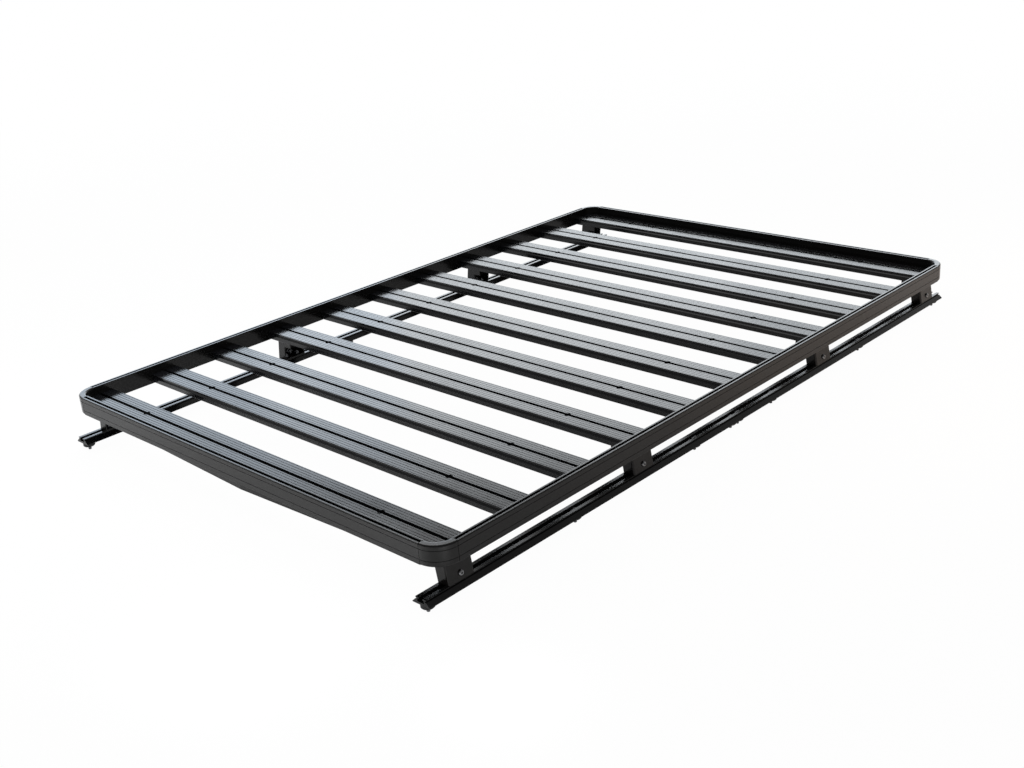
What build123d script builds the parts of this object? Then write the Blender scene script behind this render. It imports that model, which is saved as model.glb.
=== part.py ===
from build123d import *
from math import degrees, radians, tan
import os

# Flat platform roof rack: a perimeter frame of slotted rails and corner castings,
# cross slats with bolt slots, folded legs and two pairs of roof tracks on studs.
# Millimetres. X runs across the rack, -Y is the front with the wind deflector, +Z is up.
# The origin lies under the middle of the rack, level with the stud tips.

# Overall frame
rack_width = 1425.0
rack_length = 2166.0

# Heights of the stack, from the stud tips up to the rail tops
stud_drop = 10.6
pad_thickness = 12.4
track_height = 15.9
leg_height = 67.0
slat_height = 23.6
rail_rise = 22.8

# Perimeter rail section
rail_width = 18.0
rail_height = 49.8
rail_slot_mouth = 8.0
rail_slot_lip = 2.6
rail_cavity_width = 13.0
rail_cavity_depth = 7.4
rail_edge_round = 1.2
rail_groove_width = 1.2
rail_groove_depth = 1.2
rail_lip_drop = 2.2
rail_groove_drop = 12.4
rail_groove_rise = 13.0

# Corner castings
corner_radius = 57.0
corner_gap = 0.3
corner_edge_round = 4.0
corner_seam_width = 1.2
corner_seam_depth = 1.4

# Slats
slat_count = 11
slat_width = 80.0
slat_end_inset = 73.0
slat_slot_mouth = 10.0
slat_slot_lip = 3.0
slat_cavity_width = 17.0
slat_cavity_depth = 6.8
slat_edge_round = 0.8
slat_foot_round = 1.5
slat_cove_drop = 1.4
slat_cove_height = 9.6
slat_cove_depth = 4.0
slat_rib_pitch = 8.6
slat_rib_first = 10.0
slat_rib_count = 4
slat_rib_width = 1.4
slat_rib_depth = 0.7
entry_diameter = 17.0
entry_offset = 460.0

# Roof tracks
track_inset = 45.2
track_overhang = 18.5
track_base_width = 51.0
track_base_edge = 1.8
track_top_width = 32.0
track_shoulder = 5.6
track_lip_edge = 1.4
track_neck_inset = 3.0
track_edge_round = 1.0
track_slot_mouth = 11.7
track_slot_lip = 3.2
track_cavity_width = 20.0
track_cavity_depth = 6.8

# Studs and pads under the tracks
stud_radius = 4.0
stud_tip_chamfer = 0.8
stud_shoulder_radius = 6.0
stud_head_radius = 8.0
stud_head_height = 5.0
stud_clearance = 0.3
stud_end_inset = 17.5
stud_joint_inset = 16.0
stud_second_inset = 172.4
pad_radius = 15.5
pad_chamfer = 2.0

# Legs
leg_slats = (1, 4, 8, 11)
leg_width = 75.0
leg_offset = 11.0
leg_lean = 9.0
leg_plate = 3.0
leg_arm_reach = 52.0
leg_arm_height = 20.6
leg_bolt_radius = 4.2
leg_bolt_rise = 15.0
leg_bend_radius = 4.0
leg_fold_radius = 2.0

# Wind deflector
deflector_gap = 9.5
deflector_drop = 41.4
deflector_sweep = 2.4
deflector_plate = 2.0
deflector_flange = 28.0
deflector_leg_gap = 24.0

# Levels and places that follow from the sizes above
track_bottom = stud_drop + pad_thickness
track_top = track_bottom + track_height
slat_bottom = track_top + leg_height
slat_top = slat_bottom + slat_height
rail_top = slat_top + rail_rise
half_width = rack_width / 2
half_length = rack_length / 2
inner_width = rack_width - 2 * rail_width
inner_length = rack_length - 2 * rail_width
corner_inner_radius = corner_radius - rail_width
side_grooves = (rail_groove_drop, rail_height - rail_groove_rise)
slat_pitch = (rack_length - 2 * slat_end_inset) / (slat_count - 1)
track_x = half_width - track_inset
track_end = half_length + track_overhang
track_floor = track_top - track_slot_lip - track_cavity_depth
stud_end = track_end - stud_end_inset
stud_third = (stud_second_inset + stud_end) / 2
stud_places = (stud_joint_inset, stud_second_inset, stud_third, stud_end)
front_inner = -half_length + rail_width

os.makedirs("parts", exist_ok=True)


def slat_y(number):
    """Centre of a slat, counted from 1 at the front."""
    return -half_length + slat_end_inset + (number - 1) * slat_pitch


def save(piece, name):
    """Label a finished piece and write it."""
    piece.part.label = name
    export_step(piece.part, f"parts/{name}.step")


def rail_outline(edge_round, groove_drops):
    """Rail section as a face: outer side at x = 0, inner side at -rail_width, top at y = 0."""
    with BuildSketch() as outline:
        with Locations((-rail_width / 2, -rail_height / 2)):
            Rectangle(rail_width, rail_height)
        fillet(outline.vertices(), edge_round)
        with Locations(*[(0, -drop) for drop in groove_drops]):
            Rectangle(2 * rail_groove_depth, rail_groove_width, mode=Mode.SUBTRACT)
    return outline.sketch


def rail(name, length, middle, outward):
    """Slotted rail centred on a point of its outer top edge, its outer side facing outward."""
    along = Vector(0, 0, 1).cross(Vector(outward))
    section = Plane(origin=Vector(middle) - along * (length / 2), x_dir=outward, z_dir=-along)
    with BuildPart() as piece:
        with BuildSketch(section):
            add(rail_outline(rail_edge_round, (rail_lip_drop, *side_grooves)))
            with Locations((-rail_width / 2, -rail_slot_lip / 2)):
                Rectangle(rail_slot_mouth, rail_slot_lip + 2 * rail_edge_round, mode=Mode.SUBTRACT)
            with Locations((-rail_width / 2, -rail_slot_lip - rail_cavity_depth / 2)):
                Rectangle(rail_cavity_width, rail_cavity_depth, mode=Mode.SUBTRACT)
        extrude(amount=-length)
    save(piece, name)


def corner(name, side, end):
    """Quarter-round casting that carries the rail's sides round a corner, between two sunk seams."""
    centre = (side * (half_width - corner_radius), end * (half_length - corner_radius), rail_top)
    hinge = Axis(centre, (0, 0, 1))
    way = side * end
    seam_turn = degrees(corner_seam_width / corner_radius)

    def section(turn):
        """Plane of the outline, this many degrees round the corner from the side rail."""
        radial = Vector(side, 0, 0).rotate(Axis.Z, way * turn)
        return Plane(origin=centre, x_dir=radial, z_dir=radial.cross(Vector(0, 0, 1)))

    with BuildPart() as piece:
        with BuildSketch(section(seam_turn)):
            with Locations((corner_radius, 0)):
                add(rail_outline(corner_edge_round, side_grooves))
        revolve(axis=hinge, revolution_arc=way * (90 - 2 * seam_turn))
        with BuildSketch(section(0)) as neck:
            with Locations((corner_radius - rail_width / 2, 0)):
                Rectangle(
                    rail_width - 2 * corner_seam_depth,
                    rail_height - corner_seam_depth,
                    align=(Align.CENTER, Align.MAX),
                )
            fillet(neck.vertices(), corner_edge_round)
        revolve(axis=hinge, revolution_arc=way * 90)
    save(piece, name)


def slot_cut(level, up, mouth, lip, cavity_width, cavity_depth):
    """Cut a bolt slot into the sketch: a mouth through the lip and a wider cavity behind it."""
    with Locations((0, level - up * lip / 2)):
        Rectangle(mouth, lip, mode=Mode.SUBTRACT)
    with Locations((0, level - up * (lip + cavity_depth / 2))):
        Rectangle(cavity_width, cavity_depth, mode=Mode.SUBTRACT)


def slat(number):
    """Cross slat with bolt slots above and below, ribbed top and a cove under each edge."""
    middle = slat_y(number)
    section = Plane(origin=(-inner_width / 2, middle, slat_bottom), x_dir=(0, 1, 0), z_dir=(1, 0, 0))
    edge = slat_width / 2
    cove_top = slat_height - slat_cove_drop
    cove_low = cove_top - slat_cove_height
    with BuildPart() as piece:
        with BuildSketch(section) as profile:
            with Locations((0, slat_height / 2)):
                Rectangle(slat_width, slat_height)
            fillet(profile.vertices().group_by(Axis.Y)[-1], slat_edge_round)
            fillet(profile.vertices().group_by(Axis.Y)[0], slat_foot_round)
            for hand in (-1, 1):
                with BuildLine():
                    Polyline(
                        (hand * edge, cove_top),
                        (hand * (edge - slat_cove_depth), cove_top - slat_cove_depth / 2),
                        (hand * (edge - slat_cove_depth), cove_low + slat_cove_depth),
                        (hand * edge, cove_low),
                        close=True,
                    )
                make_face(mode=Mode.SUBTRACT)
                for rib in range(slat_rib_count):
                    with Locations((hand * (slat_rib_first + rib * slat_rib_pitch), slat_height)):
                        Rectangle(slat_rib_width, 2 * slat_rib_depth, mode=Mode.SUBTRACT)
            for level, up in ((slat_height, 1), (0, -1)):
                slot_cut(level, up, slat_slot_mouth, slat_slot_lip, slat_cavity_width, slat_cavity_depth)
        extrude(amount=inner_width)
        with BuildSketch(Plane.XY.offset(slat_top)):
            with Locations((-entry_offset, middle), (entry_offset, middle)):
                Circle(entry_diameter / 2)
        extrude(amount=-slat_slot_lip, mode=Mode.SUBTRACT)
        if number in (1, slat_count):
            with BuildSketch(Plane.XY.offset(slat_bottom)):
                RectangleRounded(inner_width, inner_length, corner_inner_radius + 2 * corner_gap)
            extrude(amount=slat_height, mode=Mode.INTERSECT)
    save(piece, f"slat_{number:02d}")


def track(name, side, end):
    """Half of a roof track: flanged base, necked sides under the slot's lips, drilled for its studs."""
    section = Plane(origin=(side * track_x, 0, track_bottom), x_dir=(1, 0, 0), z_dir=(0, -1, 0))
    base = track_base_width / 2
    top = track_top_width / 2
    neck = top - track_neck_inset
    ledge = track_height - track_shoulder
    under_lip = track_height - track_lip_edge
    with BuildPart() as piece:
        with BuildSketch(section) as profile:
            with BuildLine():
                Polyline(
                    (-base, 0),
                    (base, 0),
                    (base, track_base_edge),
                    (top, ledge),
                    (neck, ledge),
                    (neck, under_lip),
                    (top, under_lip),
                    (top, track_height),
                    (-top, track_height),
                    (-top, under_lip),
                    (-neck, under_lip),
                    (-neck, ledge),
                    (-top, ledge),
                    (-base, track_base_edge),
                    close=True,
                )
            make_face()
            slot_cut(
                track_height, 1, track_slot_mouth, track_slot_lip, track_cavity_width, track_cavity_depth
            )
            fillet(profile.vertices().group_by(Axis.Y)[-1], track_edge_round)
        extrude(amount=-end * track_end)
        with BuildSketch(Plane.XY.offset(track_bottom)):
            with Locations(*[(side * track_x, end * place) for place in stud_places]):
                Circle(stud_shoulder_radius + stud_clearance)
        extrude(amount=track_floor - track_bottom, mode=Mode.SUBTRACT)
    save(piece, name)


def stud_points(side):
    """Plan positions of the studs along one side."""
    return [(side * track_x, end * place) for end in (-1, 1) for place in stud_places]


def track_pads(name, side):
    """Round rubber pads between the track and the roof, one at each stud."""
    with BuildPart() as piece:
        with BuildSketch(Plane.XY.offset(stud_drop)):
            with Locations(*stud_points(side)):
                Circle(pad_radius)
        extrude(amount=pad_thickness)
        chamfer(piece.edges().group_by(Axis.Z)[0], pad_chamfer)
        with BuildSketch(Plane.XY.offset(stud_drop)):
            with Locations(*stud_points(side)):
                Circle(stud_shoulder_radius + stud_clearance)
        extrude(amount=pad_thickness, mode=Mode.SUBTRACT)
    save(piece, name)


def track_studs(name, side):
    """Studs: a flat head in the track's slot, a shoulder through track and pad, a bare tip."""
    with BuildPart() as piece:
        with BuildSketch(Plane.XY):
            with Locations(*stud_points(side)):
                Circle(stud_radius)
        extrude(amount=stud_drop)
        chamfer(piece.edges().group_by(Axis.Z)[0], stud_tip_chamfer)
        with BuildSketch(Plane.XY.offset(stud_drop)):
            with Locations(*stud_points(side)):
                Circle(stud_shoulder_radius)
        extrude(amount=track_floor - stud_drop)
        with BuildSketch(Plane.XY.offset(track_floor)):
            with Locations(*stud_points(side)):
                Circle(stud_head_radius)
        extrude(amount=stud_head_height)
    save(piece, name)


def leg(name, side, slat_number):
    """Folded leg between a slat and the track: leaning outer plate, two stepped flanges, foot and top."""
    middle = slat_y(slat_number) + leg_offset
    section = Plane(origin=(side * track_x, middle, track_top), x_dir=(side, 0, 0), z_dir=(0, -side, 0))
    foot = track_top_width / 2
    slope = tan(radians(leg_lean))
    step = leg_height - leg_arm_height
    ceiling = leg_height - leg_plate
    past = leg_arm_reach + leg_plate
    knee = (-foot - step * slope, step)
    outward = Axis((0, 0, 0), (side, 0, 0))
    lean_axis = Axis((0, 0, 0), (-side * slope, 0, 1))
    inner_x = side * (track_x + foot - leg_plate - leg_height / 2 * slope)
    inner_half = leg_width / 2 - leg_plate
    inner_level = track_top + leg_height / 2
    inner_corners = [(inner_x, middle + hand * inner_half, inner_level) for hand in (-1, 1)]
    with BuildPart() as piece:
        with BuildSketch(section) as flange:
            with BuildLine():
                Polyline(
                    (-foot, 0),
                    (foot, 0),
                    (foot - leg_height * slope, leg_height),
                    (-leg_arm_reach, leg_height),
                    (-leg_arm_reach, step),
                    knee,
                    close=True,
                )
            make_face()
            fillet(flange.vertices().sort_by_distance(knee)[0], leg_bend_radius)
        extrude(amount=leg_width / 2, both=True)
        folds = piece.edges().filter_by(lean_axis).group_by(outward)[-1]
        fillet(folds, leg_fold_radius + leg_plate)
        with BuildSketch(section):
            with BuildLine():
                Polyline(
                    (foot - leg_plate * (1 + slope), leg_plate),
                    (foot - leg_plate - ceiling * slope, ceiling),
                    (-past, ceiling),
                    (-past, leg_plate),
                    close=True,
                )
            make_face()
        extrude(amount=leg_width / 2 - leg_plate, both=True, mode=Mode.SUBTRACT)
        inner_folds = [piece.edges().sort_by_distance(point)[0] for point in inner_corners]
        fillet(inner_folds, leg_fold_radius)
        bolt_plane = Plane(
            origin=(side * (track_x + foot - leg_bolt_rise * slope), middle, track_top + leg_bolt_rise),
            x_dir=(0, 1, 0),
            z_dir=(side, 0, slope),
        )
        with BuildSketch(bolt_plane):
            Circle(leg_bolt_radius)
        extrude(amount=2 * leg_plate, both=True, mode=Mode.SUBTRACT)
    save(piece, name)


def deflector(name):
    """Folded wind deflector: a shallow prow of two swept panels under a flange on the first slat."""
    front = front_inner + deflector_gap
    reach = track_x - leg_arm_reach - deflector_leg_gap
    back = reach * tan(radians(deflector_sweep))

    def prow(depth):
        """Plan outline of the prow, this deep from front to back."""
        return [
            (-reach, front + back),
            (0, front),
            (reach, front + back),
            (reach, front + back + depth),
            (0, front + depth),
            (-reach, front + back + depth),
        ]

    with BuildPart() as piece:
        with BuildSketch(Plane.XY.offset(slat_bottom - deflector_drop)):
            with BuildLine():
                Polyline(*prow(deflector_plate), close=True)
            make_face()
        extrude(amount=deflector_drop)
        with BuildSketch(Plane.XY.offset(slat_bottom - deflector_plate)):
            with BuildLine():
                Polyline(*prow(deflector_flange), close=True)
            make_face()
        extrude(amount=deflector_plate)
    save(piece, name)


cross_length = rack_width - 2 * corner_radius
side_length = rack_length - 2 * corner_radius
rail("front_rail", cross_length, (0, -half_length, rail_top), (0, -1, 0))
rail("rear_rail", cross_length, (0, half_length, rail_top), (0, 1, 0))
rail("left_rail", side_length, (-half_width, 0, rail_top), (-1, 0, 0))
rail("right_rail", side_length, (half_width, 0, rail_top), (1, 0, 0))

for number in range(1, slat_count + 1):
    slat(number)

for side_name, side in (("left", -1), ("right", 1)):
    for end_name, end in (("front", -1), ("rear", 1)):
        corner(f"{end_name}_{side_name}_corner", side, end)
        track(f"{side_name}_{end_name}_track", side, end)
    track_pads(f"{side_name}_track_pads", side)
    track_studs(f"{side_name}_track_studs", side)
    for order, slat_number in enumerate(leg_slats, start=1):
        leg(f"{side_name}_leg_{order}", side, slat_number)

deflector("wind_deflector")
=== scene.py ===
# Looks of a flat platform roof rack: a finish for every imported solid, the small fasteners
# that hold legs, tracks and deflector, and a white studio with the camera.
# Metres throughout, with sizes written in millimetres and turned by MM.

import logging
import math
from dataclasses import dataclass
from enum import Enum

import bpy
import numpy as np
from mathutils import Matrix, Vector


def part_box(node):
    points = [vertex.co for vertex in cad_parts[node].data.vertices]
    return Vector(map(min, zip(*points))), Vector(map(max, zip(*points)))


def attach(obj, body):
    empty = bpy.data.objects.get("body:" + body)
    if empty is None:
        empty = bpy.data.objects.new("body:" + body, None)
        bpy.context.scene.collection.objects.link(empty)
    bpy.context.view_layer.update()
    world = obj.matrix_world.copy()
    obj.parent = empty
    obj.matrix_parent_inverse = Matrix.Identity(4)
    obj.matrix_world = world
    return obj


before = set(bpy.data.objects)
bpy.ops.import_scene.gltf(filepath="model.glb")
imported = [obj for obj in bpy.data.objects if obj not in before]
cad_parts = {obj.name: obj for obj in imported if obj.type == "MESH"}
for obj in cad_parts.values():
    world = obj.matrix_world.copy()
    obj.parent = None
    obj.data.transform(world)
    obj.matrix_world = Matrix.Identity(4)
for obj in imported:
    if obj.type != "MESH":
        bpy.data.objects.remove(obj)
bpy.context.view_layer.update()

MM = 0.001
BODY = "root"
FASTENER_SLOT = "stud_steel"
TURN = 2 * math.pi
GOLDEN_TURN = TURN * 0.381966
SMOOTH_ANGLE = math.radians(35)
UPRIGHT = 0.9
WHITE = "ffffff"
BEVEL_SAMPLES = 4

# Sockets of a colour Mix node, whose names repeat for each type of data.
FACTOR = 0
FIRST = 6
SECOND = 7
MIXED = 2

# Cosines of the angle between the rounded and the flat normal, where an edge's paler mark, part wear and
# part painted highlight, starts and is full.
WEAR_AND_HIGHLIGHT_START = 0.99
WEAR_AND_HIGHLIGHT_FULL = 0.8

# Values of a noise texture between which the gloss drifts.
NOISE_LOW = 0.3
NOISE_HIGH = 0.7

LOG = logging.getLogger("roof_rack")


def linear(code: str) -> tuple[float, float, float, float]:
    """Turn an sRGB hex colour into linear red, green, blue and alpha.

    Args:
        code: six hex digits, with or without the leading hash.

    Returns:
        Linear colour with full alpha, by the sRGB transfer curve.
    """
    digits = code.lstrip("#")
    coded = np.array([int(digits[i:i + 2], 16) for i in (0, 2, 4)]) / 255
    plain = np.where(coded <= 0.04045, coded / 12.92, ((coded + 0.055) / 1.055) ** 2.4)
    return (*plain.tolist(), 1.0)


def per_metre(size_mm: float) -> float:
    """Texture scale whose cells are this many millimetres wide."""
    return 1 / (size_mm * MM)


def node(
    tree: bpy.types.NodeTree, kind: str, inputs: dict[str | int, object] | None = None, **settings: object,
) -> bpy.types.Node:
    """Add a shader node with its settings, values and links.

    Args:
        tree: node tree that gets the node.
        kind: Blender's type name of the node.
        inputs: socket name or index to a value, or to the output socket that feeds it.
        settings: attributes of the node itself.

    Returns:
        The new node.
    """
    made = tree.nodes.new(kind)
    for key, value in settings.items():
        setattr(made, key, value)
    for key, value in (inputs or {}).items():
        if isinstance(value, bpy.types.NodeSocket):
            tree.links.new(value, made.inputs[key])
        else:
            made.inputs[key].default_value = value
    return made


def blank_material(name: str) -> bpy.types.Material:
    """Make a material with an empty node tree.

    Args:
        name: name of the material.

    Returns:
        The new material.
    """
    material = bpy.data.materials.new(name)
    material.use_nodes = True
    material.node_tree.nodes.clear()
    return material


# Finishes

def worn_edge(
    tree: bpy.types.NodeTree, edge_mm: float, rub: float,
) -> tuple[bpy.types.NodeSocket, bpy.types.NodeSocket]:
    """Round the sharp edges and find how strongly each turns paler, by wear and by a painted highlight.

    The paler mark grows as the cosine between the rounded and the flat normal falls.

    Args:
        tree: node tree that gets the nodes.
        edge_mm: radius of the rounding.
        rub: share of the paler edge colour, wear and painted highlight, where an edge bends fully.

    Returns:
        Sockets of the rounded normal and of the paler edge mark.
    """
    rounded = node(tree, "ShaderNodeBevel", {"Radius": edge_mm * MM}, samples=BEVEL_SAMPLES).outputs[0]
    flat = node(tree, "ShaderNodeNewGeometry").outputs["Normal"]
    bend = node(tree, "ShaderNodeVectorMath", {0: rounded, 1: flat}, operation="DOT_PRODUCT")
    wear_and_highlight = node(
        tree, "ShaderNodeMapRange",
        {
            "Value": bend.outputs["Value"], "From Min": WEAR_AND_HIGHLIGHT_START, "From Max": WEAR_AND_HIGHLIGHT_FULL,
            "To Min": 0.0, "To Max": rub,
        },
    )
    return rounded, wear_and_highlight.outputs[0]


class Run(Enum):
    """Way that an extrusion's die lines run, as the pattern's stretch along X, Y and Z."""

    ACROSS = (0.01, 1.0, 1.0)
    LENGTHWISE = (1.0, 0.01, 1.0)
    NONE = (1.0, 1.0, 1.0)


@dataclass(frozen=True)
class BlackFilm:
    """Black film on aluminium: polyester powder, sprayed dry and baked, or a dyed anodised layer.

    The film is satin, so it looks deep black face on and mirrors bright walls softly at a low
    angle. It has a fine orange peel, drifts a little in shade and gloss where the film is thicker,
    and shows the die lines of an extrusion under it. Along sharp edges its colour turns paler,
    partly as wear and partly as a painted highlight.
    """

    name: str
    deep: str
    thin: str
    # Paler colour of sharp edges: part wear, part a painted highlight.
    rubbed: str
    roughness: float
    peel_mm: float
    peel_height_mm: float
    cloud_mm: float
    edge_mm: float
    line_mm: float
    run: Run = Run.NONE
    line_height_mm: float = 0.003
    roughness_drift: float = 0.03
    specular_level: float = 0.3
    rub: float = 0.75
    bump_strength: float = 0.5
    ior: float = 1.5

    def material(self) -> bpy.types.Material:
        """Build the film: clouded colour, drifting gloss, orange peel, die lines, and edges painted paler
        as wear and highlight.

        Returns:
            The finished material.
        """
        material = blank_material(self.name)
        tree = material.node_tree
        place = node(tree, "ShaderNodeTexCoord").outputs["Object"]
        stretched = node(tree, "ShaderNodeMapping", {"Vector": place, "Scale": self.run.value}).outputs[0]
        cloud = node(
            tree, "ShaderNodeTexNoise",
            {"Vector": place, "Scale": per_metre(self.cloud_mm), "Detail": 4.0},
        ).outputs["Fac"]
        peel = node(
            tree, "ShaderNodeTexNoise",
            {"Vector": place, "Scale": per_metre(self.peel_mm), "Detail": 2.0},
        ).outputs["Fac"]
        lines = node(
            tree, "ShaderNodeTexNoise",
            {"Vector": stretched, "Scale": per_metre(self.line_mm), "Detail": 1.0},
        ).outputs["Fac"]
        rounded, wear_and_highlight = worn_edge(tree, self.edge_mm, self.rub)
        broken_wear_and_highlight = node(tree, "ShaderNodeMath", {0: wear_and_highlight, 1: cloud}, operation="MULTIPLY").outputs[0]
        film = node(
            tree, "ShaderNodeMix",
            {FACTOR: cloud, FIRST: linear(self.deep), SECOND: linear(self.thin)}, data_type="RGBA",
        ).outputs[MIXED]
        # Sharp edges turn paler here: part wear, part a painted highlight along the lips.
        colour = node(
            tree, "ShaderNodeMix",
            {FACTOR: broken_wear_and_highlight, FIRST: film, SECOND: linear(self.rubbed)}, data_type="RGBA",
        ).outputs[MIXED]
        gloss = node(
            tree, "ShaderNodeMapRange",
            {
                "Value": cloud, "From Min": NOISE_LOW, "From Max": NOISE_HIGH,
                "To Min": self.roughness - self.roughness_drift,
                "To Max": self.roughness + self.roughness_drift,
            },
        ).outputs[0]
        normal = rounded
        for height, height_mm in ((lines, self.line_height_mm), (peel, self.peel_height_mm)):
            normal = node(
                tree, "ShaderNodeBump",
                {
                    "Height": height, "Distance": height_mm * MM,
                    "Strength": self.bump_strength, "Normal": normal,
                },
            ).outputs[0]
        coat = node(
            tree, "ShaderNodeBsdfPrincipled",
            {
                "Base Color": colour, "Roughness": gloss, "Normal": normal,
                "IOR": self.ior, "Specular IOR Level": self.specular_level,
            },
        )
        node(tree, "ShaderNodeOutputMaterial", {"Surface": coat.outputs[0]})
        return material


@dataclass(frozen=True)
class MouldedRubber:
    """Black EPDM rubber, pressed in a mould.

    It is matt and slightly grey, with a fine grain from the mould and pale dust in broad patches.
    """

    name: str
    black: str
    dusty: str
    roughness: float
    grain_mm: float
    grain_height_mm: float
    dust_mm: float
    roughness_drift: float = 0.1
    bump_strength: float = 0.6
    ior: float = 1.52

    def material(self) -> bpy.types.Material:
        """Build the rubber: dusty colour, matt gloss and mould grain.

        Returns:
            The finished material.
        """
        material = blank_material(self.name)
        tree = material.node_tree
        place = node(tree, "ShaderNodeTexCoord").outputs["Object"]
        dust = node(
            tree, "ShaderNodeTexNoise",
            {"Vector": place, "Scale": per_metre(self.dust_mm), "Detail": 5.0},
        ).outputs["Fac"]
        grain = node(
            tree, "ShaderNodeTexNoise",
            {"Vector": place, "Scale": per_metre(self.grain_mm), "Detail": 3.0},
        ).outputs["Fac"]
        colour = node(
            tree, "ShaderNodeMix",
            {FACTOR: dust, FIRST: linear(self.black), SECOND: linear(self.dusty)}, data_type="RGBA",
        ).outputs[MIXED]
        matt = node(
            tree, "ShaderNodeMapRange",
            {
                "Value": dust, "To Min": self.roughness - self.roughness_drift,
                "To Max": self.roughness + self.roughness_drift,
            },
        ).outputs[0]
        normal = node(
            tree, "ShaderNodeBump",
            {"Height": grain, "Distance": self.grain_height_mm * MM, "Strength": self.bump_strength},
        ).outputs[0]
        rubber = node(
            tree, "ShaderNodeBsdfPrincipled",
            {"Base Color": colour, "Roughness": matt, "Normal": normal, "IOR": self.ior},
        )
        node(tree, "ShaderNodeOutputMaterial", {"Surface": rubber.outputs[0]})
        return material


@dataclass(frozen=True)
class FastenerSteel:
    """Turned or cold-headed steel of a fastener, zinc plated or stainless.

    It is a true metal with soft highlights, faintly mottled where the surface's crystals differ and
    brighter where a spanner or a hole has scuffed an edge.
    """

    name: str
    plate: str
    mottle: str
    bright: str
    roughness: float
    mottle_mm: float
    edge_mm: float
    roughness_drift: float = 0.08
    rub: float = 0.8
    crystal_height_mm: float = 0.05
    bump_strength: float = 0.4

    def material(self) -> bpy.types.Material:
        """Build the steel: mottled surface, drifting gloss and bright scuffed edges.

        Returns:
            The finished material.
        """
        material = blank_material(self.name)
        tree = material.node_tree
        place = node(tree, "ShaderNodeTexCoord").outputs["Object"]
        mottle = node(
            tree, "ShaderNodeTexNoise",
            {"Vector": place, "Scale": per_metre(self.mottle_mm), "Detail": 4.0},
        ).outputs["Fac"]
        rounded, wear_and_highlight = worn_edge(tree, self.edge_mm, self.rub)
        plating = node(
            tree, "ShaderNodeMix",
            {FACTOR: mottle, FIRST: linear(self.plate), SECOND: linear(self.mottle)}, data_type="RGBA",
        ).outputs[MIXED]
        colour = node(
            tree, "ShaderNodeMix",
            {FACTOR: wear_and_highlight, FIRST: plating, SECOND: linear(self.bright)}, data_type="RGBA",
        ).outputs[MIXED]
        gloss = node(
            tree, "ShaderNodeMapRange",
            {
                "Value": mottle, "To Min": self.roughness - self.roughness_drift,
                "To Max": self.roughness + self.roughness_drift,
            },
        ).outputs[0]
        normal = node(
            tree, "ShaderNodeBump",
            {
                "Height": mottle, "Distance": self.crystal_height_mm * MM,
                "Strength": self.bump_strength, "Normal": rounded,
            },
        ).outputs[0]
        steel = node(
            tree, "ShaderNodeBsdfPrincipled",
            {"Base Color": colour, "Roughness": gloss, "Normal": normal, "Metallic": 1.0},
        )
        node(tree, "ShaderNodeOutputMaterial", {"Surface": steel.outputs[0]})
        return material


# Orange peel and die lines are finer than a pixel of the picture on the real rack, so they are drawn
# two to four times as coarse to show.

# Each coat's paler edge colour below is part wear, part a painted highlight.
# Coat on drawn rails: deep black face on, with soft bright lines along the lips.
RAIL_COAT = BlackFilm(
    name="powder_coated_rail", deep="080808", thin="0d0d0d", rubbed="2c2c2d",
    roughness=0.20, peel_mm=2.6, peel_height_mm=0.008,
    cloud_mm=140.0, edge_mm=0.35, line_mm=3.0,
)

# Coat on castings: a little duller, with a coarser peel over the round corners.
CASTING_COAT = BlackFilm(
    name="powder_coated_casting", deep="080808", thin="0e0e0e", rubbed="2e2e2f",
    roughness=0.22, peel_mm=3.2, peel_height_mm=0.012,
    cloud_mm=60.0, edge_mm=0.5, line_mm=6.0,
)

# Coat on wide flat slats: the smoothest and faintly blue, so the tops mirror the bright wall.
SLAT_COAT = BlackFilm(
    name="powder_coated_slat", deep="08080a", thin="0d0e10", rubbed="2c2e32",
    roughness=0.17, peel_mm=2.4, peel_height_mm=0.004,
    cloud_mm=120.0, edge_mm=0.3, line_mm=2.6, run=Run.ACROSS,
)

# Anodised tracks: the deepest black, dry, with lines along their length and soft glints on the lips.
TRACK_COAT = BlackFilm(
    name="black_anodised_track", deep="060606", thin="0a0a0b", rubbed="2e2e30",
    roughness=0.24, peel_mm=2.0, peel_height_mm=0.004,
    cloud_mm=90.0, edge_mm=0.4, line_mm=2.2, run=Run.LENGTHWISE,
)

# Coat on folded plate: a slightly warm black, patchy round the bends.
LEG_COAT = BlackFilm(
    name="powder_coated_folded_plate", deep="090808", thin="0e0d0c", rubbed="2c2a28",
    roughness=0.22, peel_mm=2.6, peel_height_mm=0.008,
    cloud_mm=45.0, edge_mm=0.5, line_mm=5.0,
)

# Coat on a broad thin sheet: an even satin black with rubbed edges.
DEFLECTOR_COAT = BlackFilm(
    name="powder_coated_sheet", deep="080808", thin="0d0d0d", rubbed="2c2c2d",
    roughness=0.20, peel_mm=2.8, peel_height_mm=0.008,
    cloud_mm=100.0, edge_mm=0.5, line_mm=5.0,
)

# Moulded rubber: matt dark grey without highlights, dusty in patches.
PAD_RUBBER = MouldedRubber(
    name="moulded_rubber_pad", black="0c0c0d", dusty="1d1d1e", roughness=0.6,
    grain_mm=1.6, grain_height_mm=0.1, dust_mm=14.0,
)

# Zinc plating on studs and nuts: a dull grey metal with a soft, mottled shine.
STUD_STEEL = FastenerSteel(
    name="zinc_plated_stud", plate="6e7073", mottle="8b8d90", bright="b4b6b8",
    roughness=0.36, mottle_mm=3.0, edge_mm=0.4,
)

# Stainless bolts and screws: brighter and smoother, with crisp glints.
BOLT_STEEL = FastenerSteel(
    name="stainless_bolt", plate="77787a", mottle="8c8d8f", bright="c4c5c7",
    roughness=0.14, mottle_mm=2.5, edge_mm=0.5,
)


# Surfaces

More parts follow.
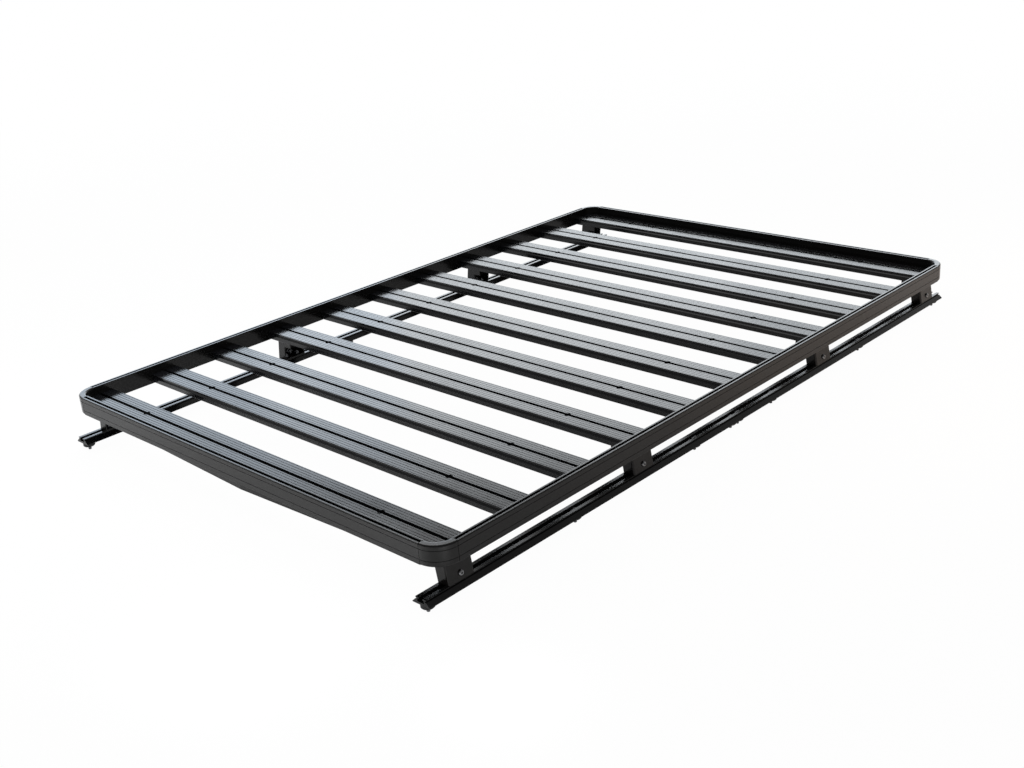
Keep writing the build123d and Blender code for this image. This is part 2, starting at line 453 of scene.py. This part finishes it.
@dataclass
class Surface:
    """Points of a piece in metres with its four-sided faces and its flat end caps."""

    points: np.ndarray
    quads: np.ndarray
    caps: np.ndarray

    def placed(self, centres: np.ndarray, axes: np.ndarray) -> "Surface":
        """Copies of the surface with its own Z along each axis and its origin at each centre.

        A copy is point @ basis + centre, where the basis rows are two unit vectors across the axis
        and the axis itself. Each copy is spun by a further golden angle, so sockets don't line up.

        Args:
            centres: one row of three per copy, in metres.
            axes: one unit row of three per copy.

        Returns:
            One surface that holds all the copies.
        """
        count = len(centres)
        upright = np.abs(axes[:, 2:]) > UPRIGHT
        across = np.cross(axes, np.where(upright, (1.0, 0.0, 0.0), (0.0, 0.0, 1.0)))
        across /= np.linalg.norm(across, axis=1, keepdims=True)
        third = np.cross(axes, across)
        spin = GOLDEN_TURN * np.arange(count)[:, None]
        first = np.cos(spin) * across + np.sin(spin) * third
        basis = np.stack([first, np.cross(axes, first), axes], axis=1)
        points = np.einsum("pk,ckj->cpj", self.points, basis) + centres[:, None, :]
        shift = (np.arange(count) * len(self.points))[:, None, None]
        return Surface(
            points.reshape(-1, 3),
            (self.quads[None] + shift).reshape(-1, 4),
            (self.caps[None] + shift).reshape(-1, self.caps.shape[1]),
        )

    def piece(self, name: str, material: bpy.types.Material, slot: str) -> bpy.types.Object:
        """Put the surface into a mesh object that rides on the rack.

        Args:
            name: name of the piece.
            material: its finish.
            slot: the record's material slot that the finish belongs to; not used.

        Returns:
            The object, at the origin with its place in its mesh.
        """
        mesh = bpy.data.meshes.new(name)
        mesh.from_pydata(self.points.tolist(), [], self.quads.tolist() + self.caps.tolist())
        mesh.shade_smooth()
        mesh.set_sharp_from_angle(angle=SMOOTH_ANGLE)
        mesh.materials.append(material)
        made = bpy.data.objects.new(name, mesh)
        bpy.context.scene.collection.objects.link(made)
        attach(made, BODY)
        LOG.info("piece %s: %d faces", name, len(mesh.polygons))
        return made


def ring_faces(rows: int, columns: int, closed: bool) -> np.ndarray:
    """Quads of a grid of rings, each joined to the next.

    Args:
        rows: number of rings.
        columns: points in a ring; the last joins the first.
        closed: whether the last ring joins the first.

    Returns:
        One row of four point numbers per quad, (row, column) counted row by row.
    """
    row = np.arange(rows if closed else rows - 1)[:, None]
    column = np.arange(columns)[None, :]
    beside = (column + 1) % columns
    above = (row + 1) % rows
    sides = ((row, column), (row, beside), (above, beside), (above, column))
    corners = [ring * columns + point for ring, point in sides]
    return np.stack(np.broadcast_arrays(*corners), axis=-1).reshape(-1, 4)


def ring_angles(columns: int) -> np.ndarray:
    """Angles of the points of a ring, spread evenly."""
    return np.arange(columns) * TURN / columns


def ring_points(reach: np.ndarray, heights: np.ndarray) -> np.ndarray:
    """Points (r cos t, r sin t, h) of rings about the Z axis.

    Args:
        reach: radius of every point, with a row for each ring.
        heights: height of each ring.

    Returns:
        One row of three per point, ring by ring.
    """
    angle = ring_angles(reach.shape[1])
    lift = np.broadcast_to(heights[:, None], reach.shape)
    return np.stack([reach * np.cos(angle), reach * np.sin(angle), lift], axis=-1).reshape(-1, 3)


def turned(rings: list[tuple[float, float, bool]], columns: int = 36) -> Surface:
    """Profile carried round the Z axis, with some of its rings six-sided.

    A round ring is (r cos t, r sin t, h). A six-sided ring of apothem r has the radius
    r / cos((t mod 60 degrees) - 30 degrees). The first and last rings are closed by flat caps.

    Args:
        rings: radius or apothem in millimetres, height in millimetres and whether the ring is
            six-sided, from the seat up and over the top.
        columns: points in a ring, a multiple of 12 so that the corners are kept.

    Returns:
        The closed surface in metres, its faces outward when the profile climbs on the outside.
    """
    radii, heights, sixfold = (np.array(column) for column in zip(*rings))
    flank = 1 / np.cos(np.mod(ring_angles(columns), TURN / 6) - TURN / 12)
    reach = radii[:, None] * MM * np.where(sixfold[:, None], flank, 1.0)
    last = (len(rings) - 1) * columns
    caps = np.stack([np.arange(columns)[::-1], last + np.arange(columns)])
    return Surface(ring_points(reach, heights * MM), ring_faces(len(rings), columns, closed=False), caps)


@dataclass(frozen=True)
class ButtonBolt:
    """Button-head bolt with a six-sided socket, in millimetres."""

    rim_height: float = 0.8
    head_radius: float = 7.0
    head_height: float = 4.6
    crown_radius: float = 3.4
    socket_apothem: float = 2.4
    socket_lead: float = 0.2
    socket_depth: float = 2.6
    crown_steps: int = 9

    def surface(self) -> Surface:
        """Straight rim, then a crown whose side is a quarter ellipse, then the socket.

        Returns:
            The closed surface, seated at z = 0.
        """
        sweep = np.linspace(0, TURN / 4, self.crown_steps)
        crown_r = self.crown_radius + (self.head_radius - self.crown_radius) * np.cos(sweep)
        crown_h = self.rim_height + (self.head_height - self.rim_height) * np.sin(sweep)
        rings = [
            (self.head_radius, 0.0, False),
            *((radius, height, False) for radius, height in zip(crown_r, crown_h)),
            (self.socket_apothem, self.head_height - self.socket_lead, True),
            (self.socket_apothem, self.head_height - self.socket_depth, True),
        ]
        return turned(rings)


@dataclass(frozen=True)
class FlangeNut:
    """Hexagon nut on its own flange, with the bolt's end standing out of it, in millimetres."""

    flange_radius: float = 8.8
    flange_height: float = 1.4
    flange_rim: float = 0.84
    slope_reach: float = 0.9
    slope_rise: float = 0.5
    hexagon_rise: float = 0.9
    apothem: float = 6.5
    height: float = 7.6
    corner_cut: float = 0.7
    top_inset: float = 0.1
    bore_lead: float = 0.5
    bore_dip: float = 0.4
    bolt_radius: float = 3.9
    bolt_stand: float = 3.0
    bolt_chamfer: float = 0.7

    def surface(self) -> Surface:
        """Flange ring, sloped up to the hexagon, chamfered top, then the bolt's end.

        Returns:
            The closed surface, seated at z = 0.
        """
        end = self.height + self.bolt_stand
        rings = [
            (self.flange_radius, 0.0, False),
            (self.flange_radius, self.flange_rim, False),
            (self.apothem + self.slope_reach, self.flange_height + self.slope_rise, False),
            (self.apothem, self.flange_height + self.hexagon_rise, True),
            (self.apothem, self.height - self.corner_cut, True),
            (self.apothem - self.top_inset, self.height, False),
            (self.bolt_radius + self.bore_lead, self.height, False),
            (self.bolt_radius, self.height - self.bore_dip, False),
            (self.bolt_radius, end - self.bolt_chamfer, False),
            (self.bolt_radius - self.bolt_chamfer, end, False),
        ]
        return turned(rings)


@dataclass(frozen=True)
class PanScrew:
    """Low pan-head screw with a six-sided socket, in millimetres.

    The shoulder's points are shares of the head's radius and height.
    """

    head_radius: float = 5.5
    head_height: float = 2.8
    shoulder: tuple[tuple[float, float], ...] = ((1.0, 0.5), (0.93, 0.8), (0.78, 0.97))
    socket_apothem: float = 1.6
    socket_depth: float = 1.6
    socket_rim: float = 0.6
    socket_lead: float = 0.1

    def surface(self) -> Surface:
        """Straight rim, rounded shoulder, flat top and socket.

        Returns:
            The closed surface, seated at z = 0.
        """
        rings = [
            (self.head_radius, 0.0, False),
            *((self.head_radius * out, self.head_height * up, False) for out, up in self.shoulder),
            (self.socket_apothem + self.socket_rim, self.head_height, False),
            (self.socket_apothem, self.head_height - self.socket_lead, True),
            (self.socket_apothem, self.head_height - self.socket_depth, True),
        ]
        return turned(rings)


@dataclass(frozen=True)
class ThreadSleeve:
    """Screw thread cut on a stud, as a thin sleeve over its shank, in millimetres."""

    core_radius: float = 3.8
    root_radius: float = 4.03
    crest_radius: float = 4.35
    pitch: float = 1.25
    start: float = 1.0
    end: float = 9.9
    steps_per_pitch: int = 6
    columns: int = 24

    def surface(self) -> Surface:
        """Radius as a triangle wave of height / pitch - angle / full turn.

        The wave fades out over a pitch at each end.

        Returns:
            The closed sleeve, its inner wall sunk in the stud.
        """
        rows = round((self.end - self.start) / self.pitch * self.steps_per_pitch)
        heights = np.linspace(self.start, self.end, rows)
        turns = ring_angles(self.columns) / TURN
        phase = np.mod(heights[:, None] / self.pitch - turns[None, :], 1.0)
        ridge = 1 - np.abs(2 * phase - 1)
        fade = np.clip(np.minimum(heights - self.start, self.end - heights) / self.pitch, 0, 1)
        reach = self.root_radius + (self.crest_radius - self.root_radius) * ridge * fade[:, None]
        inner = np.full((1, self.columns), self.core_radius)
        reach = np.concatenate([inner, reach, inner])
        heights = np.concatenate([[self.start], heights, [self.end]])
        quads = ring_faces(len(heights), self.columns, closed=True)
        return Surface(ring_points(reach, heights) * MM, quads, np.empty((0, 4), dtype=int))


# Sub-assemblies

@dataclass
class Assembly:
    """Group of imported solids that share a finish."""

    nodes: tuple[str, ...]
    finish: BlackFilm | MouldedRubber | FastenerSteel

    def dress(self) -> bpy.types.Material:
        """Give every solid of the group its finish.

        Returns:
            The finish's material.
        """
        material = self.finish.material()
        for name in self.nodes:
            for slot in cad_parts[name].material_slots:
                slot.material = material
            LOG.info("dressed %s in %s", name, material.name)
        return material

    def build(self) -> None:
        """Add the group's own pieces; a plain group has none."""


@dataclass
class Legs(Assembly):
    """Eight folded legs with a button bolt through the outer plate and a nut inside, in millimetres."""

    lean_degrees: float = 9.0
    plate: float = 3.0
    bolt_rise: float = 15.0
    foot_bolt_offset: float = 20.0
    track_half: float = 16.0

    def outward(self, sides: np.ndarray) -> np.ndarray:
        """Unit normal of each leaning plate: (side cos lean, 0, sin lean).

        Args:
            sides: -1 for a left leg and 1 for a right one.

        Returns:
            One row of three per leg.
        """
        lean = math.radians(self.lean_degrees)
        rise = np.full_like(sides, math.sin(lean))
        return np.stack([sides * math.cos(lean), np.zeros_like(sides), rise], axis=1)

    def build(self) -> None:
        """Bolt each plate from outside, put a nut behind it, and bolt each foot to its track."""
        boxes = np.array([[list(corner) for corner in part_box(name)] for name in self.nodes])
        low, high = boxes[:, 0], boxes[:, 1]
        sides = np.sign(low[:, 0] + high[:, 0])
        middle = (low[:, 1] + high[:, 1]) / 2
        toe = np.where(sides > 0, high[:, 0], low[:, 0])
        slope = math.tan(math.radians(self.lean_degrees))
        rise = self.bolt_rise * MM
        seat = np.stack([toe - sides * rise * slope, middle, low[:, 2] + rise], axis=1)
        normal = self.outward(sides)
        behind = seat - normal * self.plate * MM
        bolts = ButtonBolt().surface().placed(seat, normal)
        bolts.piece("leg_bolts", BOLT_STEEL.material(), FASTENER_SLOT)
        nuts = FlangeNut().surface().placed(behind, -normal)
        nuts.piece("leg_nuts", STUD_STEEL.material(), FASTENER_SLOT)
        steps = np.array([-1.0, 1.0]) * self.foot_bolt_offset * MM
        track = toe - sides * self.track_half * MM
        foot = np.stack(
            [
                np.repeat(track, len(steps)),
                (middle[:, None] + steps[None, :]).ravel(),
                np.repeat(low[:, 2] + self.plate * MM, len(steps)),
            ],
            axis=1,
        )
        up = np.tile([0.0, 0.0, 1.0], (len(foot), 1))
        foot_nuts = FlangeNut().surface().placed(foot, up)
        foot_nuts.piece("foot_nuts", STUD_STEEL.material(), FASTENER_SLOT)


@dataclass
class Studs(Assembly):
    """Studs under the tracks, threaded below the pads."""

    track_x: float = 667.3
    places: tuple[float, ...] = (16.0, 172.4, 628.2, 1084.0)

    def build(self) -> None:
        """Cut a thread on the bare tip of every stud."""
        along = np.concatenate([-np.array(self.places), np.array(self.places)])
        x, y = np.meshgrid(np.array([-1.0, 1.0]) * self.track_x, along)
        centres = np.stack([x.ravel(), y.ravel(), np.zeros(x.size)], axis=1) * MM
        up = np.tile([0.0, 0.0, 1.0], (len(centres), 1))
        threads = ThreadSleeve().surface().placed(centres, up)
        threads.piece("stud_threads", STUD_STEEL.material(), FASTENER_SLOT)


@dataclass
class Deflector(Assembly):
    """Folded deflector, screwed up into the first slat through its flange, in millimetres."""

    screw_places: tuple[float, ...] = (-540.0, -270.0, 0.0, 270.0, 540.0)
    sweep_degrees: float = 2.4
    flange_middle: float = 16.0
    plate: float = 2.0

    def build(self) -> None:
        """Screw the flange from below, midway across it along the swept panels."""
        low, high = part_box(self.nodes[0])
        x = np.array(self.screw_places) * MM
        swept = np.abs(x) * math.tan(math.radians(self.sweep_degrees))
        y = low.y + swept + self.flange_middle * MM
        z = np.full_like(x, high.z - self.plate * MM)
        down = np.tile([0.0, 0.0, -1.0], (len(x), 1))
        screws = PanScrew().surface().placed(np.stack([x, y, z], axis=1), down)
        screws.piece("deflector_screws", BOLT_STEEL.material(), FASTENER_SLOT)


# Studio

@dataclass(frozen=True)
class Softbox:
    """Flat rectangular lamp that faces a point, in metres, with its brightness as seen.

    A lamp that isn't mirrored is gridded: it lights the floor, and no gloss shows the lamp itself.
    """

    name: str
    place: tuple[float, float, float]
    aim: tuple[float, float, float]
    width: float
    height: float
    radiance: float
    tint: str = WHITE
    mirrored: bool = True

    def build(self) -> bpy.types.Object:
        """Hang the lamp; its power is radiance times pi times its area.

        Returns:
            The lamp, unseen by the camera itself.
        """
        data = bpy.data.lights.new(self.name, "AREA")
        data.shape = "RECTANGLE"
        data.size = self.width
        data.size_y = self.height
        data.energy = self.radiance * math.pi * self.width * self.height
        data.color = linear(self.tint)[:3]
        lamp = bpy.data.objects.new(self.name, data)
        facing = Vector(self.aim) - Vector(self.place)
        turn = facing.to_track_quat("-Z", "Y").to_matrix().to_4x4()
        lamp.matrix_world = Matrix.Translation(self.place) @ turn
        lamp.visible_camera = False
        lamp.visible_glossy = self.mirrored
        bpy.context.scene.collection.objects.link(lamp)
        return lamp


@dataclass
class Studio:
    """White sweep with soft lamps and the camera, in metres.

    Fill is the surround's plain light. Glow is the white that the camera sees in the floor. The two
    mirror values are what a gloss sees of the dim room and of the floor's glow.
    """

    fill: float = 0.4
    glow: float = 0.975
    mirror_fill: float = 0.26
    mirror_glow: float = 0.1
    back_wall: tuple[float, float, float] = (-0.69, 0.69, 0.2)
    wall_fade: tuple[float, float] = (0.25, 0.75)
    floor_half: float = 40.0
    shadow_near: float = 1.8
    shadow_far: float = 6.0
    floor_colour: str = "f4f4f4"
    camera_place: tuple[float, float, float] = (2.38193, -2.51365, 1.39975)
    heading_degrees: float = 44.9241
    tilt_degrees: float = 67.5429
    roll_degrees: float = -4.5313
    lens_mm: float = 45.0303

    def seen(
        self, tree: bpy.types.NodeTree,
        camera: float | bpy.types.NodeSocket, mirror: float | bpy.types.NodeSocket,
    ) -> bpy.types.NodeSocket:
        """Share of plain white that each kind of ray sees, 0 for the rays that carry light.

        Args:
            tree: node tree that gets the nodes.
            camera: share for the camera's own rays.
            mirror: share for rays by way of a gloss or through glass.

        Returns:
            The share's socket.
        """
        path = node(tree, "ShaderNodeLightPath")
        direct = node(
            tree, "ShaderNodeMath", {0: path.outputs["Is Camera Ray"], 1: camera}, operation="MULTIPLY",
        )
        bounced = node(
            tree, "ShaderNodeMath",
            {0: path.outputs["Is Glossy Ray"], 1: path.outputs["Is Transmission Ray"]},
            operation="MAXIMUM",
        )
        share = node(
            tree, "ShaderNodeMath",
            {0: bounced.outputs[0], 1: mirror, 2: direct.outputs[0]}, operation="MULTIPLY_ADD",
        )
        return share.outputs[0]

    def world(self) -> None:
        """Surround: white to look at, with a plain fill of light, and a dim room in a gloss.

        The room has a white back wall, which fades out smoothly with the cosine of the angle between
        a direction and the wall's own.
        """
        world = bpy.data.worlds.new("studio_surround")
        bpy.context.scene.world = world
        world.use_nodes = True
        tree = world.node_tree
        tree.nodes.clear()
        way = node(tree, "ShaderNodeTexCoord").outputs["Generated"]
        facing = node(tree, "ShaderNodeVectorMath", {0: way, 1: self.back_wall}, operation="DOT_PRODUCT")
        wall = node(
            tree, "ShaderNodeMapRange",
            {
                "Value": facing.outputs["Value"],
                "From Min": self.wall_fade[0], "From Max": self.wall_fade[1],
                "To Min": self.mirror_fill, "To Max": 1.0,
            },
            interpolation_type="SMOOTHSTEP",
        )
        shown = self.seen(tree, 1.0, wall.outputs[0])
        looked = self.seen(tree, 1.0, 1.0)
        lit = node(
            tree, "ShaderNodeMath", {0: looked, 1: -self.fill, 2: self.fill}, operation="MULTIPLY_ADD",
        )
        level = node(tree, "ShaderNodeMath", {0: shown, 1: lit.outputs[0]}, operation="ADD")
        sky = node(tree, "ShaderNodeBackground", {"Color": linear(WHITE), "Strength": level.outputs[0]})
        node(tree, "ShaderNodeOutputWorld", {"Surface": sky.outputs[0]})

    def floor(self) -> None:
        """Floor that glows white to the camera, keeps a trace of the shadow and is clear from below.

        The trace of the shadow fades out with the distance from the rack, so the floor has no far edge.
        """
        material = blank_material("studio_floor")
        tree = material.node_tree
        matt = node(tree, "ShaderNodeBsdfDiffuse", {"Color": linear(self.floor_colour)})
        white = node(tree, "ShaderNodeEmission", {"Color": linear(WHITE), "Strength": 1.0})
        place = node(tree, "ShaderNodeTexCoord").outputs["Object"]
        reach = node(tree, "ShaderNodeVectorMath", {0: place}, operation="LENGTH")
        glow = node(
            tree, "ShaderNodeMapRange",
            {
                "Value": reach.outputs["Value"],
                "From Min": self.shadow_near, "From Max": self.shadow_far,
                "To Min": self.glow, "To Max": 1.0,
            },
            interpolation_type="SMOOTHSTEP",
        )
        share = self.seen(tree, glow.outputs[0], self.mirror_glow)
        top = node(tree, "ShaderNodeMixShader", {0: share, 1: matt.outputs[0], 2: white.outputs[0]})
        under = node(tree, "ShaderNodeNewGeometry").outputs["Backfacing"]
        clear = node(tree, "ShaderNodeBsdfTransparent")
        both = node(tree, "ShaderNodeMixShader", {0: under, 1: top.outputs[0], 2: clear.outputs[0]})
        node(tree, "ShaderNodeOutputMaterial", {"Surface": both.outputs[0]})
        half = self.floor_half
        corners = [(-half, -half, 0), (half, -half, 0), (half, half, 0), (-half, half, 0)]
        mesh = bpy.data.meshes.new("studio_floor")
        mesh.from_pydata(corners, [], [(0, 1, 2, 3)])
        mesh.materials.append(material)
        made = bpy.data.objects.new("studio_floor", mesh)
        bpy.context.scene.collection.objects.link(made)

    def camera(self) -> None:
        """Camera at the photo's viewpoint: turned about Z, tilted about X, rolled about its own axis."""
        data = bpy.data.cameras.new("studio_camera")
        data.lens = self.lens_mm
        camera = bpy.data.objects.new("studio_camera", data)
        turns = ((self.heading_degrees, "Z"), (self.tilt_degrees, "X"), (self.roll_degrees, "Z"))
        first, second, third = (Matrix.Rotation(math.radians(angle), 4, axis) for angle, axis in turns)
        camera.matrix_world = Matrix.Translation(self.camera_place) @ first @ second @ third
        bpy.context.scene.collection.objects.link(camera)
        bpy.context.scene.camera = camera

    def build(self) -> None:
        """Set up surround, floor, lamps and camera."""
        bpy.context.scene.view_settings.view_transform = "Standard"
        self.world()
        self.floor()
        self.camera()
        # Walls of light that the flat tops mirror, and gridded lamps that light pools on the floor around
        # the rack, which its upright faces mirror. Each has its place, aim, width, height and radiance.
        lamps = (
            Softbox("overhead_softbox", (-1.1, 0.0, 2.0), (-0.7, -0.1, 0.0), 1.2, 1.8, 1.6),
            Softbox("front_softbox", (-1.0, -1.4, 1.7), (-0.6, -0.6, 0.0), 1.2, 1.6, 2.3, mirrored=False),
            Softbox("back_softbox", (-4.8, 8.0, 2.68), (1.72, 1.79, 2.68), 7.0, 4.6, 2.65, "eff8ff"),
            Softbox("cool_softbox", (-8.92, 3.66, 2.68), (-2.4, -2.55, 2.68), 5.0, 4.6, 2.7, "d9ecff"),
            Softbox("key_softbox", (-6.3, 6.0, 3.65), (0.0, 0.0, 3.65), 4.8, 1.5, 1.1),
            Softbox("right_pool", (1.3, 1.6, 0.8), (0.9, 1.3, 0.0), 0.8, 0.8, 3.4, "ffdfc4", False),
            Softbox("side_pool", (1.3, 0.4, 0.6), (0.95, 0.3, 0.0), 0.5, 0.5, 2.0, "ffd2a4", False),
            Softbox("left_pool", (-1.2, -1.8, 0.7), (-0.9, -1.2, 0.0), 0.8, 0.8, 1.55, mirrored=False),
            Softbox("deck_pool", (-0.2, -0.92, 0.3), (-0.2, -0.92, 0.0), 1.2, 0.24, 1.8, mirrored=False),
            Softbox("front_pool", (-0.1, -1.7, 0.5), (0.0, -1.3, 0.0), 0.5, 0.5, 0.7, mirrored=False),
            Softbox("corner_pool", (0.48, -1.5, 0.26), (0.45, -1.25, 0.0), 0.2, 0.2, 9.0, mirrored=False),
            Softbox("band_pool", (0.99, -1.19, 0.12), (0.99, -1.19, 0.0), 0.12, 0.12, 6.5, mirrored=False),
        )
        for lamp in lamps:
            lamp.build()
            LOG.info("hung %s", lamp.name)


def names(pattern: str, count: int) -> tuple[str, ...]:
    """Names numbered from 1, such as slat_01."""
    return tuple(pattern.format(number) for number in range(1, count + 1))


def main() -> None:
    """Dress and complete each sub-assembly, then set up the studio."""
    logging.basicConfig(level=logging.INFO, format="%(message)s")
    sides = ("left", "right")
    ends = ("front", "rear")
    rack = (
        Assembly(tuple(f"{way}_rail" for way in ends + sides), RAIL_COAT),
        Assembly(tuple(f"{end}_{side}_corner" for end in ends for side in sides), CASTING_COAT),
        Assembly(names("slat_{:02d}", 11), SLAT_COAT),
        Assembly(tuple(f"{side}_{end}_track" for side in sides for end in ends), TRACK_COAT),
        Assembly(tuple(f"{side}_track_pads" for side in sides), PAD_RUBBER),
        Studs(tuple(f"{side}_track_studs" for side in sides), STUD_STEEL),
        Legs(names("left_leg_{}", 4) + names("right_leg_{}", 4), LEG_COAT),
        Deflector(("wind_deflector",), DEFLECTOR_COAT),
    )
    for group in rack:
        group.dress()
        group.build()
    Studio().build()


if __name__ == "__main__":
    main()
